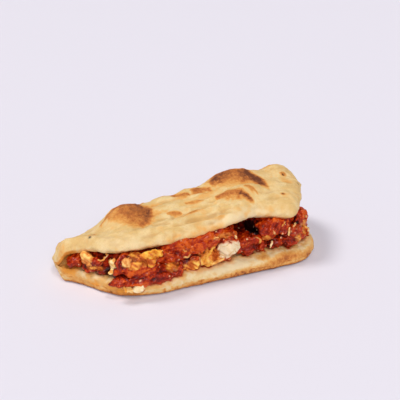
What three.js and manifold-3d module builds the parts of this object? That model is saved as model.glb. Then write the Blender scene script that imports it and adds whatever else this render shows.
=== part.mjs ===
// A pizza dough sandwich: one long oval loaf of pizza dough, slit open along its front and its right end,
// still joined along the back and at the left tip, and filled with chicken in tomato sauce and melted cheese.
// Millimetres. +X runs along the loaf from the closed tip to the open end, +Y from the open front to the
// joined back, and +Z up from the face that the sandwich lies on.
import * as THREE from "three";
import { ParametricGeometry } from "three/addons/geometries/ParametricGeometry.js";
import { mergeVertices } from "three/addons/utils/BufferGeometryUtils.js";
import Module from "manifold-3d";

const wasm = await Module();
wasm.setup();

// ---------- driving dimensions ----------
const LENGTH = 262; // closed tip to open end
const DEPTH = 124; // open front to joined back
const BOTTOM_LEAF = 15; // thickness of the dough under the filling
const TOP_LEAF = 15; // thickness of the dough over the filling
const BACK_CRUST = 13; // thickness of the dough behind the filling
const TIP_Y = 15; // place of the closed tip across the loaf
const TIP_HEIGHT = 16; // height at which the closed left end comes to its point
const TIP_ROUNDING = 9; // length over which the tip thins to its point
const TIP_FRONT_ROUNDING = 6; // length over which the front edge swings round the tip
const TIP_BACK_ROUNDING = 14; // length over which the back edge swings round the tip
const END_ROUNDING = 9; // length over which the leaves round off at the open end
const FRONT_CORNER = { along: 42, across: 47 }; // rounded front corner of the open end
const BACK_CORNER = { along: 26, across: 12 }; // rounded back corner of the open end
const GAP = 0.4; // clearance between pieces that touch

const DOUGH_SECTIONS = 34; // steps along the loaf
const DOUGH_STEPS = 28; // steps along the outside of a section, and as many along its inside
const BED_SECTIONS = 25; // steps along the filling
const BED_STEPS = 20; // steps round a section of the filling

const HALF = LENGTH / 2;

// ---------- curves ----------
// A smooth curve through [x, value] points, held level beyond its two ends.
function profile(points) {
  const last = points.length - 1;
  const slopes = points.map((point, i) => {
    if (i === 0 || i === last) return 0;
    const [xa, ya] = points[i - 1];
    const [xb, yb] = points[i + 1];
    return (yb - ya) / (xb - xa);
  });
  return (x) => {
    if (x <= points[0][0]) return points[0][1];
    if (x >= points[last][0]) return points[last][1];
    const i = points.findIndex(([px]) => px >= x);
    const [xa, ya] = points[i - 1];
    const [xb, yb] = points[i];
    const run = xb - xa;
    const t = (x - xa) / run;
    const bend = (1 - t) * (slopes[i - 1] * run - (yb - ya)) - t * (slopes[i] * run - (yb - ya));
    return ya + t * (yb - ya) + t * (1 - t) * bend;
  };
}

const clamp = (value, low, high) => Math.min(high, Math.max(low, value));
const blend = (a, b, share) => a + (b - a) * share;
// 1 away from an end, falling to 0 at it like the rim of a circle. d is the distance from the end.
const roundOff = (d, radius) => Math.sqrt(1 - (1 - clamp(d / radius, 0, 1)) ** 2);

// ---------- plan of the loaf ----------
// The front tapers almost straight to the left tip, the back in a fuller curve.
const EDGE = DEPTH / 2;
const frontEdge = profile([
  [-HALF, -4], [-122, -8], [-110, -21], [-93, -43], [-81, -53], [-60, -60], [0, -EDGE], [HALF, -EDGE],
]);
const backEdge = profile([
  [-HALF, 26], [-122, 35], [-110, 44], [-90, 54], [-56, 60], [-10, EDGE], [HALF, EDGE],
]);
// How far an edge has drawn in at x, at a rounded corner of the open end.
const drawIn = (x, { along, across }) => across * (1 - roundOff(HALF - x, along));
const atTip = (x, edge, rounding) => blend(TIP_Y, edge, roundOff(x + HALF, rounding));
const bottomFront = (x) => atTip(x, frontEdge(x), TIP_FRONT_ROUNDING) + drawIn(x, FRONT_CORNER);
const back = (x) => atTip(x, backEdge(x), TIP_BACK_ROUNDING) - drawIn(x, BACK_CORNER);
// The top leaf's lip lies behind the bottom leaf's edge.
const lipSetback = profile([
  [-HALF, -2], [-118, 3], [-104, 7], [-84, 9], [-59, 13], [-29, 13], [6, 15], [36, 16], [56, 20], [86, 13],
  [98, 15], [108, 24], [118, 31], [HALF, 34],
]);

// ---------- heights ----------
const lipHeight = profile([
  [-HALF, 22], [-127, 29], [-122, 34], [-112, 38], [-101, 43], [-84, 45], [-59, 47], [-29, 49], [6, 51],
  [36, 56], [56, 58], [86, 56], [104, 55], [HALF, 56],
]);
const crestHeight = profile([
  [-HALF, 22], [-125, 33], [-117, 37], [-106, 39], [-98, 42], [-86, 47], [-69, 55], [-49, 58], [-18, 60],
  [16, 63], [38, 68], [60, 71], [87, 70], [108, 68], [HALF, 65],
]);
// Where the crest lies across the loaf.
const crestPlace = profile([
  [-HALF, 14], [-117, 5], [-106, 3], [-86, 0], [-49, 5], [-18, 7], [16, 12], [59, 22], [HALF, 22],
]);
const shoulderHeight = profile([
  [-HALF, 16], [-120, 17], [-100, 18], [-86, 27], [-60, 38], [0, 44], [60, 54], [HALF, 56],
]);
const bulgeHeight = profile([[-HALF, 12], [-100, 12], [-60, 17], [0, 21], [HALF, 25]]);

// How deep the slit runs into the loaf: a crease at the closed tip, then the whole pocket.
const slitDepth = profile([
  [-HALF, 1], [-129, 5], [-124, 12], [-117, 21], [-108, 36], [-92, 64], [-70, 92], [-40, 103], [0, 107],
  [HALF, 107],
]);

const CLOSED_SLIT = 6; // a slit less deep than this is only pressed in
const OPEN_SLIT = 66; // a slit deeper than this leaves the top leaf free to lift

// Bubbles that rose in the oven on the top leaf: place, half-widths along X and Y, and height.
const BLISTERS = [
  { x: -65, y: 5, rx: 28, ry: 25, rise: 8.5 },
  { x: -20, y: 14, rx: 15, ry: 12, rise: 2.6 },
  { x: 8, y: 18, rx: 16, ry: 13, rise: 2.6 },
  { x: 55, y: 22, rx: 34, ry: 20, rise: 5.5 },
  { x: 58, y: -14, rx: 26, ry: 13, rise: 4.2 },
  { x: 92, y: -6, rx: 11, ry: 9, rise: 1.8 },
  { x: 112, y: 24, rx: 18, ry: 24, rise: 5.5 },
];
const blisterRise = (x, y) =>
  BLISTERS.reduce((sum, { x: bx, y: by, rx, ry, rise }) => {
    const away = Math.hypot((x - bx) / rx, (y - by) / ry);
    return sum + (away < 1 ? rise * (1 - away * away) ** 2 : 0);
  }, 0);

// ---------- section of the loaf ----------
// The sizes of the loaf at x that its outside, its pocket and its filling share.
function sectionAt(x) {
  const front = bottomFront(x);
  const rear = back(x);
  const wide = rear - front;
  const lip = Math.min(TOP_LEAF, 0.32 * wide);
  const lipFront = front + clamp(lipSetback(x), -0.1 * wide, 0.35 * wide);
  const lipMid = lipHeight(x);
  const crest = crestHeight(x);
  // The leaves press together toward the tip, where both are thinner.
  const floor = clamp(lipMid - 0.5 * TOP_LEAF + 2, 12, BOTTOM_LEAF);
  const underLip = Math.max(lipMid - 0.5 * TOP_LEAF, floor + 1);
  const crease = 0.12 * wide;
  const slit = clamp(slitDepth(x), crease, Math.max(crease, wide - BACK_CRUST));
  const openness = clamp((slit - CLOSED_SLIT) / (OPEN_SLIT - CLOSED_SLIT), 0, 1);
  const ceiling = Math.max(underLip, blend(floor + 2, crest - TOP_LEAF, openness));
  return { x, front, rear, wide, lip, lipFront, lipMid, crest, floor, underLip, slit, ceiling };
}

const crestY = ({ x, front, wide }) => clamp(crestPlace(x), front + 0.35 * wide, front + 0.75 * wide);

// From the bottom leaf's edge, under the loaf, round the back and over the top to the lip.
function outsideOf(s) {
  const { x, front, rear, wide, lip, lipFront, lipMid, crest, floor } = s;
  const at = (y, z) => new THREE.Vector3(x, y, z);
  const edge = Math.min(floor, 0.25 * wide);
  const shoulder = shoulderHeight(x);
  const bulge = bulgeHeight(x);
  return [
    at(front, 0.5 * floor),
    at(front + 0.1 * edge, 0.14 * floor),
    at(front + 0.45 * edge, 0),
    at(front + 0.45 * wide, 0),
    at(rear - 0.18 * wide, 0),
    at(rear - 0.05 * wide, 0.22 * bulge),
    at(rear, bulge),
    at(rear - 0.04 * wide, blend(bulge, shoulder, 0.55)),
    at(rear - 0.15 * wide, shoulder),
    at(blend(rear - 0.15 * wide, crestY(s), 0.5), blend(shoulder, crest, 0.7)),
    at(crestY(s), crest),
    at(blend(crestY(s), lipFront + 0.8 * lip, 0.55), blend(crest, lipMid + 0.45 * lip, 0.5)),
    at(lipFront + 0.55 * lip, lipMid + 0.4 * lip),
    at(lipFront + 0.12 * lip, lipMid + 0.2 * lip),
    at(lipFront, lipMid - 0.08 * lip),
  ];
}

// The same two edges joined along the walls of the pocket, point for point opposite the outside.
function insideOf(s) {
  const { x, front, lip, lipFront, lipMid, crest, floor, underLip, slit, ceiling } = s;
  const at = (y, z) => new THREE.Vector3(x, y, z);
  const into = (share) => front + slit * share;
  const room = ceiling - floor;
  const underLipY = lipFront + Math.min(0.7 * lip, 0.25 * slit);
  return [
    at(front, 0.5 * floor),
    at(into(0.03), 0.86 * floor),
    at(into(0.11), floor),
    at(into(0.42), floor),
    at(into(0.78), floor),
    at(into(0.95), floor + 0.15 * room),
    at(into(1), floor + 0.45 * room),
    at(into(0.96), floor + 0.72 * room),
    at(into(0.84), floor + 0.88 * room),
    at(into(0.72), floor + 0.96 * room),
    at(into(0.6), ceiling),
    at(blend(into(0.6), underLipY, 0.55), blend(ceiling, underLip, 0.4)),
    at(underLipY, underLip),
    at(lipFront + Math.min(0.25 * lip, 0.1 * slit), underLip + 0.14 * lip),
    at(lipFront, lipMid - 0.08 * lip),
  ];
}

const smoothPath = (points, steps) =>
  new THREE.CatmullRomCurve3(points, false, "centripetal").getPoints(steps);

// A ring of points round the section at x, with the rounding of the tip and of the open end.
function doughRing(x) {
  const section = sectionAt(x);
  const outside = smoothPath(outsideOf(section), DOUGH_STEPS);
  const inside = smoothPath(insideOf(section), DOUGH_STEPS);
  for (const p of outside) {
    p.z = Math.max(0, p.z);
    if (p.z > shoulderHeight(x)) p.z += blisterRise(p.x, p.y);
  }
  const full = roundOff(HALF - x, END_ROUNDING);
  for (let i = 0; i <= DOUGH_STEPS; i++) {
    const middle = outside[i].clone().lerp(inside[i], 0.5);
    outside[i].lerpVectors(middle, outside[i], full);
    inside[i].lerpVectors(middle, inside[i], full);
  }
  const tip = roundOff(x + HALF, TIP_ROUNDING);
  const ring = [...outside, ...inside.slice(1, -1).reverse()];
  for (const p of ring) p.z = blend(TIP_HEIGHT, p.z, tip);
  return ring;
}

// ---------- filling ----------
// The bed of filling runs through the whole pocket. Its front face waves in and out.
const BED_START = -105;
const BED_END = 122;
const BED_ROUNDING = 8; // length over which the bed rounds off at each end
const BED_CLEARANCE = 1.1; // more than GAP, because the walls' flat facets come closer than their curves
const bedSetback = profile([
  [BED_START, 12], [-60, 18], [0, 20], [28, 22], [46, 46], [62, 26], [90, 18], [BED_END, 38],
]);
const bedFront = (x) => bottomFront(x) + bedSetback(x) + 1.4 * Math.sin(x / 6.1) + Math.sin(x / 4.3 + 1);

function bedRing(x) {
  const { front, lip, lipFront, floor, underLip, slit, ceiling } = sectionAt(x);
  const c = BED_CLEARANCE;
  const at = (y, z) => new THREE.Vector3(x, y, z);
  const into = (share) => front + slit * share;
  const room = ceiling - floor;
  const face = Math.min(bedFront(x), into(0.5));
  const underLipY = Math.max(lipFront + Math.min(0.7 * lip, 0.25 * slit), face + 2);
  const loop = new THREE.CatmullRomCurve3(
    [
      at(face - 1, blend(floor, underLip, 0.4)),
      at(face + 1.5, floor + c),
      at(into(0.55), floor + c),
      at(into(0.78), floor + c),
      at(into(0.95) - c, floor + 0.15 * room + c),
      at(into(1) - c, floor + 0.45 * room),
      at(into(0.96) - c, floor + 0.72 * room - c),
      at(into(0.84) - c, floor + 0.88 * room - c),
      at(into(0.72), floor + 0.96 * room - c),
      at(into(0.6), ceiling - c),
      at(blend(into(0.6), underLipY, 0.55), blend(ceiling, underLip, 0.4) - c),
      at(underLipY, underLip - c),
      at(face + 1, underLip - 2 * c),
    ],
    true,
    "centripetal",
  );
  const ring = loop.getPoints(BED_STEPS).slice(0, -1);
  for (const p of ring) p.z = Math.max(p.z, floor + c);
  const centre = ring.reduce((sum, p) => sum.add(p), new THREE.Vector3()).divideScalar(ring.length);
  const full = Math.min(roundOff(x - BED_START, BED_ROUNDING), roundOff(BED_END - x, BED_ROUNDING));
  return ring.map((p) => p.lerpVectors(centre, p, full));
}

// Pieces of chicken, coated in sauce and pressed out of the front and the open end of the bed. Each has its
// centre, its half-lengths, and its turns in degrees about X, Y and Z.
const CHICKEN = {
  chicken_tip: { at: [-113, -6, 22.5], half: [8, 7, 6.2], turn: [0, -12, -40] },
  chicken_left: { at: [-97, -22, 24], half: [12, 8, 8], turn: [0, -8, -38] },
  chicken_front: { at: [-67, -46, 28], half: [20, 13, 12], turn: [0, -6, -6] },
  chicken_low: { at: [-58, -53.5, 18.5], half: [31, 9.5, 8], turn: [12, 0, 2] },
  chicken_strip: { at: [-11, -43, 37], half: [43, 9, 10], turn: [-10, -9, 2] },
  chicken_shred: { at: [-17, -47, 21.5], half: [10, 7, 6], turn: [0, -30, 4] },
  chicken_edge: { at: [1, -46, 24], half: [8, 7, 8], turn: [0, -42, 0] },
  chicken_torn: { at: [21, -44, 28], half: [12, 9, 9.5], turn: [0, -38, 0] },
  chicken_middle: { at: [46, -41, 24.5], half: [15, 10, 8.5], turn: [0, -4, 0] },
  chicken_right: { at: [75, -38, 38], half: [18, 12, 13], turn: [0, -18, 4] },
  chicken_base: { at: [93, -42, 22.5], half: [22, 9, 7], turn: [0, -5, 5] },
  chicken_corner: { at: [108, -30, 36], half: [10, 11, 11], turn: [0, 0, 24] },
  chicken_end: { at: [115.5, -9, 28], half: [10, 13, 11.5], turn: [0, 0, -6] },
  chicken_rear: { at: [117, 21, 30], half: [10, 13, 12], turn: [0, 0, 8] },
};
// Melted cheese between and on the pieces of chicken.
const CHEESE = {
  cheese_left: { at: [-106, -20, 29.5], half: [4, 5, 5.5], turn: [0, 20, 0] },
  cheese_shred: { at: [-86, -39, 26], half: [3, 5, 8], turn: [0, -16, 0] },
  cheese_lump: { at: [-77, -52, 35], half: [4, 5, 5.5], turn: [0, 25, 0] },
  cheese_melt: { at: [-57, -52, 38], half: [10, 6, 4], turn: [-30, -4, 0] },
  cheese_drip: { at: [-79, -57, 14], half: [4, 3.6, 6.2], turn: [-6, 0, -20] },
  cheese_blob: { at: [-70, -60.2, 12], half: [5.5, 3.6, 4.5], turn: [-10, 0, 0] },
};

// ---------- solids ----------
// A skin through rings of points, closed by its first and last ring, which lie flat on themselves.
function skin(rings) {
  const around = rings[0].length;
  const along = rings.length - 1;
  const pointAt = (u, v, target) => {
    const ring = rings[Math.round(v * along)];
    target.copy(ring[Math.round(u * around) % around]);
  };
  return new ParametricGeometry(pointAt, around, along);
}

const MERGE_DISTANCE = 1e-3;
function solidOf(geometry) {
  const bare = geometry.clone();
  bare.deleteAttribute("normal");
  bare.deleteAttribute("uv");
  const merged = mergeVertices(bare, MERGE_DISTANCE);
  const corners = merged.index.array;
  const kept = [];
  for (let i = 0; i < corners.length; i += 3) {
    const [a, b, c] = corners.slice(i, i + 3);
    if (a !== b && b !== c && c !== a) kept.push(a, b, c);
  }
  const mesh = new wasm.Mesh({
    numProp: 3,
    vertProperties: merged.attributes.position.array,
    triVerts: new Uint32Array(kept),
  });
  return new wasm.Manifold(mesh);
}

function geometryOf(solid) {
  const { vertProperties, triVerts } = solid.getMesh();
  const geometry = new THREE.BufferGeometry();
  geometry.setAttribute("position", new THREE.BufferAttribute(vertProperties, 3));
  geometry.setIndex(new THREE.BufferAttribute(triVerts, 1));
  geometry.computeVertexNormals();
  return geometry;
}

// Sections stand closer together at the two ends, where the shapes turn fastest.
function alongLoaf(start, end, sections, ringAt) {
  const rings = [];
  for (let i = 0; i <= sections; i++) {
    const share = 0.5 - 0.5 * Math.cos((Math.PI * i) / sections);
    rings.push(ringAt(blend(start, end, share)));
  }
  return solidOf(skin(rings));
}

// An uneven lump: a rounded box with swellings and hollows, turned and set in place.
const LUMP_SIDES = 11;
const LUMP_RINGS = 6;
const LUMP_SQUARENESS = 2.5; // 2 is an ellipsoid, and larger is nearer to a box
const LUMP_ROUGHNESS = 0.09;
function lumpSolid({ at, half, turn }, grow = 0) {
  const seed = at[0];
  const power = LUMP_SQUARENESS;
  const geometry = new THREE.SphereGeometry(1, LUMP_SIDES, LUMP_RINGS);
  const position = geometry.attributes.position;
  const d = new THREE.Vector3();
  for (let i = 0; i < position.count; i++) {
    d.fromBufferAttribute(position, i);
    const box = (Math.abs(d.x) ** power + Math.abs(d.y) ** power + Math.abs(d.z) ** power) ** (-1 / power);
    const swell =
      Math.sin(3.1 * d.x + seed) + Math.sin(3.7 * d.y + 2.3 * d.x + 2 * seed) + Math.sin(4.3 * d.z - seed);
    d.multiplyScalar(box * (1 + LUMP_ROUGHNESS * swell));
    d.set(d.x * half[0], d.y * half[1], d.z * half[2]);
    d.setLength(d.length() + grow);
    position.setXYZ(i, d.x, d.y, d.z);
  }
  const [rx, ry, rz] = turn.map(THREE.MathUtils.degToRad);
  const pose = new THREE.Matrix4().makeRotationFromEuler(new THREE.Euler(rx, ry, rz, "ZYX"));
  geometry.applyMatrix4(pose.setPosition(...at));
  return solidOf(geometry);
}

const largest = (solid) => solid.decompose().reduce((a, b) => (b.volume() > a.volume() ? b : a));

// Cuts a neighbour away from a solid, moved by the gap along each of the ways in turn.
const ACROSS = [[0, -1, 0], [0, 0, 1], [0, 0, -1]];
const EVERY_WAY = [...ACROSS, [0, 1, 0], [1, 0, 0], [-1, 0, 0]];
function clearOf(solid, neighbour, ways) {
  const moved = ways.map((way) => neighbour.translate(way.map((share) => share * GAP)));
  return moved.reduce((rest, cutter) => rest.subtract(cutter), solid);
}

// ---------- the sandwich ----------
const dough = alongLoaf(-HALF, HALF, DOUGH_SECTIONS, doughRing);
const bed = alongLoaf(BED_START, BED_END, BED_SECTIONS, bedRing);

// Each lump gives way to the dough, to the bed behind it and to the lumps before it.
const pieces = {};
const grown = [];
for (const [name, lump] of Object.entries({ ...CHEESE, ...CHICKEN })) {
  let piece = clearOf(lumpSolid(lump), dough, ACROSS);
  piece = clearOf(piece, bed, EVERY_WAY);
  for (const earlier of grown) piece = piece.subtract(earlier);
  pieces[name] = largest(piece);
  grown.push(lumpSolid(lump, GAP));
}
pieces.filling_bed = bed;

const sandwich = new THREE.Group();
const looks = {
  dough: { color: 0xe6c286, roughness: 0.85 },
  filling_bed: { color: 0x8c2412, roughness: 0.45 },
  chicken: { color: 0xa83417, roughness: 0.4 },
  cheese: { color: 0xf4d684, roughness: 0.4 },
};
function add(name, solid) {
  const look = looks[name] ?? looks[name.split("_")[0]];
  const mesh = new THREE.Mesh(geometryOf(solid), new THREE.MeshStandardMaterial(look));
  mesh.name = name;
  sandwich.add(mesh);
}
add("dough", dough);
for (const [name, solid] of Object.entries(pieces)) add(name, solid);

export default sandwich;
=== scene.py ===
"""A pizza dough sandwich: a long oval loaf, slit open along its front and its right end, and filled with
chicken in tomato sauce and melted cheese.

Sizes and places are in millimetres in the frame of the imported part: +X from the closed tip to the open
end, +Y from the open front to the joined back, +Z up. They turn into metres where a mesh is made. The
dough is a fine skin through the part's own sections, with the bubbles, wrinkles and browning of its crust.
Each piece of the filling starts from its CAD solid, which is remeshed finely, roughened and coloured.
"""
import math

import bmesh
import bpy
import numpy as np
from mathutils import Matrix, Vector
from mathutils.bvhtree import BVHTree
from mathutils.kdtree import KDTree


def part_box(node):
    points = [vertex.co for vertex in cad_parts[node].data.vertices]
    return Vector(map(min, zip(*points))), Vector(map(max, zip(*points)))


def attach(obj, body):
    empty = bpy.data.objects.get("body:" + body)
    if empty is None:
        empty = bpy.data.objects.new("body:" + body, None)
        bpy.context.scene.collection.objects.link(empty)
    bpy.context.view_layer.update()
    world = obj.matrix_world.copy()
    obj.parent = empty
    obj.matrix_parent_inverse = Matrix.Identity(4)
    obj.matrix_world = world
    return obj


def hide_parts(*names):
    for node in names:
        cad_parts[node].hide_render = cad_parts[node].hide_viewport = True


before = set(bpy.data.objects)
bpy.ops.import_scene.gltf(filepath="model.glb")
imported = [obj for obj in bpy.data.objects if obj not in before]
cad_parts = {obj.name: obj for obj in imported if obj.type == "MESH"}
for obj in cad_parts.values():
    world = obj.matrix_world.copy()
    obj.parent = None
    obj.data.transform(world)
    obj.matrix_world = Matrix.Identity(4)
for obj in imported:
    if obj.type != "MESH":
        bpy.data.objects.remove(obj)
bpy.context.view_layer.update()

MM = 0.001


# ---------- numbers ----------
def blend(a, b, share):
    return a + (b - a) * share


def smooth(low, high, value):
    """0 up to low, 1 from high on, and a smooth rise between. With low above high it falls instead."""
    t = np.clip((value - low) / (high - low), 0, 1)
    return t * t * (3 - 2 * t)


def within(value, rise, fall):
    """A smooth rise from 0 to 1 in one stretch (low, high) of a value, and a smooth fall in the other."""
    return smooth(*rise, value) * (1 - smooth(*fall, value))


def round_off(distance, radius):
    """1 away from an end, falling to 0 at it like the rim of a circle."""
    return np.sqrt(1 - (1 - np.clip(distance / radius, 0, 1)) ** 2)


def profile(points):
    """A smooth curve through (x, value) points, held level beyond its two ends."""
    xs, values = np.array(points, float).T
    slopes = np.zeros(len(xs))
    slopes[1:-1] = (values[2:] - values[:-2]) / (xs[2:] - xs[:-2])

    def at(x):
        i = np.clip(np.searchsorted(xs, x), 1, len(xs) - 1)
        run = xs[i] - xs[i - 1]
        rise = values[i] - values[i - 1]
        t = np.clip((x - xs[i - 1]) / run, 0, 1)
        bend = (1 - t) * (slopes[i - 1] * run - rise) - t * (slopes[i] * run - rise)
        return values[i - 1] + t * rise + t * (1 - t) * bend

    return at


LATTICE = 32  # the noises repeat after so many bumps
NOISE_GAIN = 1.6  # brings the gradient noise to about -1 to 1
FAR = 9.0  # where the search for the nearest of something starts


def lattice_corners(points, size):
    """The lattice cell of each point, and its place in that cell from 0 to 1."""
    p = points / np.asarray(size, float)
    cell = np.floor(p).astype(int)
    return cell, p - cell


def bumps(points, size, seed):
    """Gradient noise, about -1 to 1, with bumps of a size, which may be three sizes along X, Y and Z."""
    rng = np.random.default_rng(seed)
    gradients = rng.normal(size=(LATTICE, LATTICE, LATTICE, 3))
    gradients /= np.linalg.norm(gradients, axis=-1, keepdims=True)
    cell, place = lattice_corners(points, size)
    fade = place**3 * (place * (6 * place - 15) + 10)
    total = np.zeros(len(points))
    for corner in np.ndindex(2, 2, 2):
        corner = np.array(corner)
        x, y, z = ((cell + corner) % LATTICE).T
        share = np.prod(np.where(corner == 1, fade, 1 - fade), axis=1)
        total += share * np.einsum("ij,ij->i", gradients[x, y, z], place - corner)
    return total * NOISE_GAIN


def rough(points, size, seed, layers=3):
    """Noise of several sizes, each half the last and half as high."""
    size = np.asarray(size, float)
    layer = [bumps(points, size / 2**i, seed + i) * 0.5**i for i in range(layers)]
    return np.sum(layer, axis=0)


def grains(points, size, seed):
    """Distance to the nearest of scattered seeds in cell sizes, how much further the second one is, and
    the nearest seed's own number from 0 to 1."""
    rng = np.random.default_rng(seed)
    seeds = rng.random((LATTICE, LATTICE, LATTICE, 3))
    numbers = rng.random((LATTICE, LATTICE, LATTICE))
    cell, place = lattice_corners(points, size)
    nearest = np.full(len(points), FAR)
    second = nearest
    number = np.zeros(len(points))
    for corner in np.ndindex(3, 3, 3):
        step = np.array(corner) - 1
        x, y, z = ((cell + step) % LATTICE).T
        away = np.linalg.norm(seeds[x, y, z] + step - place, axis=1)
        second = np.minimum(second, np.maximum(nearest, away))
        number = np.where(away < nearest, numbers[x, y, z], number)
        nearest = np.minimum(nearest, away)
    return nearest, second - nearest, number


# ---------- meshes ----------
def srgb(red, green, blue):
    """A colour given as 0 to 255 in sRGB, as Blender's linear colour."""
    share = np.array([red, green, blue]) / 255
    linear = np.where(share <= 0.04045, share / 12.92, ((share + 0.055) / 1.055) ** 2.4)
    return (*linear, 1.0)


def mesh_piece(name, points, faces, masks=None):
    """A smooth-shaded mesh object from points in millimetres, with its masks as vertex attributes."""
    mesh = bpy.data.meshes.new(name)
    mesh.from_pydata((points * MM).tolist(), [], [list(face) for face in faces])
    mesh.polygons.foreach_set("use_smooth", np.ones(len(mesh.polygons), bool))
    for label, values in (masks or {}).items():
        attribute = mesh.attributes.new(label, "FLOAT", "POINT")
        attribute.data.foreach_set("value", np.asarray(values, np.float32))
    mesh.update()
    piece = bpy.data.objects.new(name, mesh)
    bpy.context.scene.collection.objects.link(piece)
    return piece


def points_of(mesh):
    flat = np.zeros(len(mesh.vertices) * 3)
    mesh.vertices.foreach_get("co", flat)
    return flat.reshape(-1, 3) / MM


def faces_of(mesh):
    return [tuple(polygon.vertices) for polygon in mesh.polygons]


def normals_of(points, faces):
    """A unit normal for each point of a mesh of quads."""
    a, b, c, d = (points[faces[:, i]] for i in range(4))
    across = np.cross(c - a, d - b)
    normals = np.zeros_like(points)
    for i in range(4):
        np.add.at(normals, faces[:, i], across)
    length = np.linalg.norm(normals, axis=1, keepdims=True)
    return normals / np.maximum(length, 1e-9)


def turned(a, b, degrees):
    """Two coordinates, in axes that are turned by so many degrees."""
    cos = math.cos(math.radians(degrees))
    sin = math.sin(math.radians(degrees))
    return a * cos + b * sin, b * cos - a * sin


def spot_mask(points, at, reach, turn=0.0, edge=0.35, noise=0.0):
    """1 inside an ellipsoid about a place, falling softly to 0 at its rim. reach is its half-sizes, turn
    is about Z in degrees, and edge is the share of the radius that the fall takes. About a place (x, y) it
    is an ellipse as seen from above."""
    offset = points[:, :len(at)] - np.array(at, float)
    along, across = turned(offset[:, 0], offset[:, 1], turn)
    parts = [along / reach[0], across / reach[1]]
    if len(at) == 3:
        parts.append(offset[:, 2] / reach[2])
    away = np.sqrt(np.sum(np.square(parts), axis=0)) + noise
    return 1 - smooth(1 - edge, 1 + edge, away)


def spots(points, table, edge, noise):
    """The sum of a table's spot masks times their strengths: rows of place, half-sizes, turn, strength."""
    masks = [strength * spot_mask(points, *spot, edge, noise) for *spot, strength in table]
    return np.sum(masks, axis=0)


def strongest(points, table, edge, noise):
    """The highest of a table's spot masks times their strengths: rows of place, half-sizes, strength."""
    masks = [strength * spot_mask(points, *spot, 0, edge, noise) for *spot, strength in table]
    return np.max(masks, axis=0)


# How many times as wide a band is along Y as along X, behind its path and in front of it.
BAND_BEHIND = 1.3
BAND_IN_FRONT = 3.2


def band_mask(points, path, edge=0.5, noise=0.0):
    """1 along a path of (x, y, half-width) as seen from above, falling softly to 0 beside it. The band is
    wider along Y than along X, above all toward the front."""
    nearest = np.full(len(points), FAR)
    for (x0, y0, wide0), (x1, y1, wide1) in zip(path, path[1:]):
        run = np.array((x1 - x0, y1 - y0), float)
        offset = points[:, :2] - (x0, y0)
        share = np.clip(offset @ run / (run @ run), 0, 1)
        beside_x, beside_y = (offset - share[:, None] * run).T
        away = np.hypot(beside_x, beside_y / np.where(beside_y > 0, BAND_BEHIND, BAND_IN_FRONT))
        nearest = np.minimum(nearest, away / blend(wide0, wide1, share))
    return 1 - smooth(1 - edge, 1 + edge, nearest + noise)


def bands(points, table, edge, noise=0.0):
    """The sum of a table's band masks times their strengths: rows of path, strength."""
    return np.sum([strength * band_mask(points, path, edge, noise) for path, strength in table], axis=0)


# ---------- the loaf's own sections ----------
LENGTH = 262
HALF = LENGTH / 2
DEPTH = 124
EDGE = DEPTH / 2
BOTTOM_LEAF = 15
TOP_LEAF = 15
BACK_CRUST = 13
TIP_Y = 15
TIP_HEIGHT = 16
TIP_ROUNDING = 9
TIP_FRONT_ROUNDING = 6
TIP_BACK_ROUNDING = 14
END_ROUNDING = 9
FRONT_CORNER = (42, 47)  # length along X and across Y of the rounded front corner of the open end
BACK_CORNER = (26, 12)
CLOSED_SLIT = 6
OPEN_SLIT = 66

front_edge = profile([
    (-HALF, -4), (-122, -8), (-110, -21), (-93, -43), (-81, -53), (-60, -60), (0, -EDGE), (HALF, -EDGE),
])
back_edge = profile([
    (-HALF, 26), (-122, 35), (-110, 44), (-90, 54), (-56, 60), (-10, EDGE), (HALF, EDGE),
])
lip_setback = profile([
    (-HALF, -2), (-118, 3), (-104, 7), (-84, 9), (-59, 13), (-29, 13), (6, 15), (36, 16), (56, 20),
    (86, 13), (98, 15), (108, 24), (118, 31), (HALF, 34),
])
lip_height = profile([
    (-HALF, 22), (-127, 29), (-122, 34), (-112, 38), (-101, 43), (-84, 45), (-59, 47), (-29, 49), (6, 51),
    (36, 56), (56, 58), (86, 56), (104, 55), (HALF, 56),
])
crest_height = profile([
    (-HALF, 22), (-125, 33), (-117, 37), (-106, 39), (-98, 42), (-86, 47), (-69, 55), (-49, 58), (-18, 60),
    (16, 63), (38, 68), (60, 71), (87, 70), (108, 68), (HALF, 65),
])
crest_place = profile([
    (-HALF, 14), (-117, 5), (-106, 3), (-86, 0), (-49, 5), (-18, 7), (16, 12), (59, 22), (HALF, 22),
])
shoulder_height = profile([
    (-HALF, 16), (-120, 17), (-100, 18), (-86, 27), (-60, 38), (0, 44), (60, 54), (HALF, 56),
])
bulge_height = profile([(-HALF, 12), (-100, 12), (-60, 17), (0, 21), (HALF, 25)])
slit_depth = profile([
    (-HALF, 1), (-129, 5), (-124, 12), (-117, 21), (-108, 36), (-92, 64), (-70, 92), (-40, 103), (0, 107),
    (HALF, 107),
])


def draw_in(x, corner):
    """How far an edge has drawn in at x, at a rounded corner of the open end."""
    along, across = corner
    return across * (1 - round_off(HALF - x, along))


def bottom_front(x):
    return blend(TIP_Y, front_edge(x), round_off(x + HALF, TIP_FRONT_ROUNDING)) + draw_in(x, FRONT_CORNER)


def back(x):
    return blend(TIP_Y, back_edge(x), round_off(x + HALF, TIP_BACK_ROUNDING)) - draw_in(x, BACK_CORNER)


# Bubbles that rose in the oven on the top leaf: place, half-widths along X and Y, and height.
BUBBLES = [
    (-65, 5, 28, 25, 8.5), (-20, 14, 15, 12, 2.6), (8, 18, 16, 13, 2.6), (55, 22, 34, 20, 5.5),
    (58, -14, 26, 13, 4.2), (92, -6, 11, 9, 1.8), (112, 24, 18, 24, 5.5),
]


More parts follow.
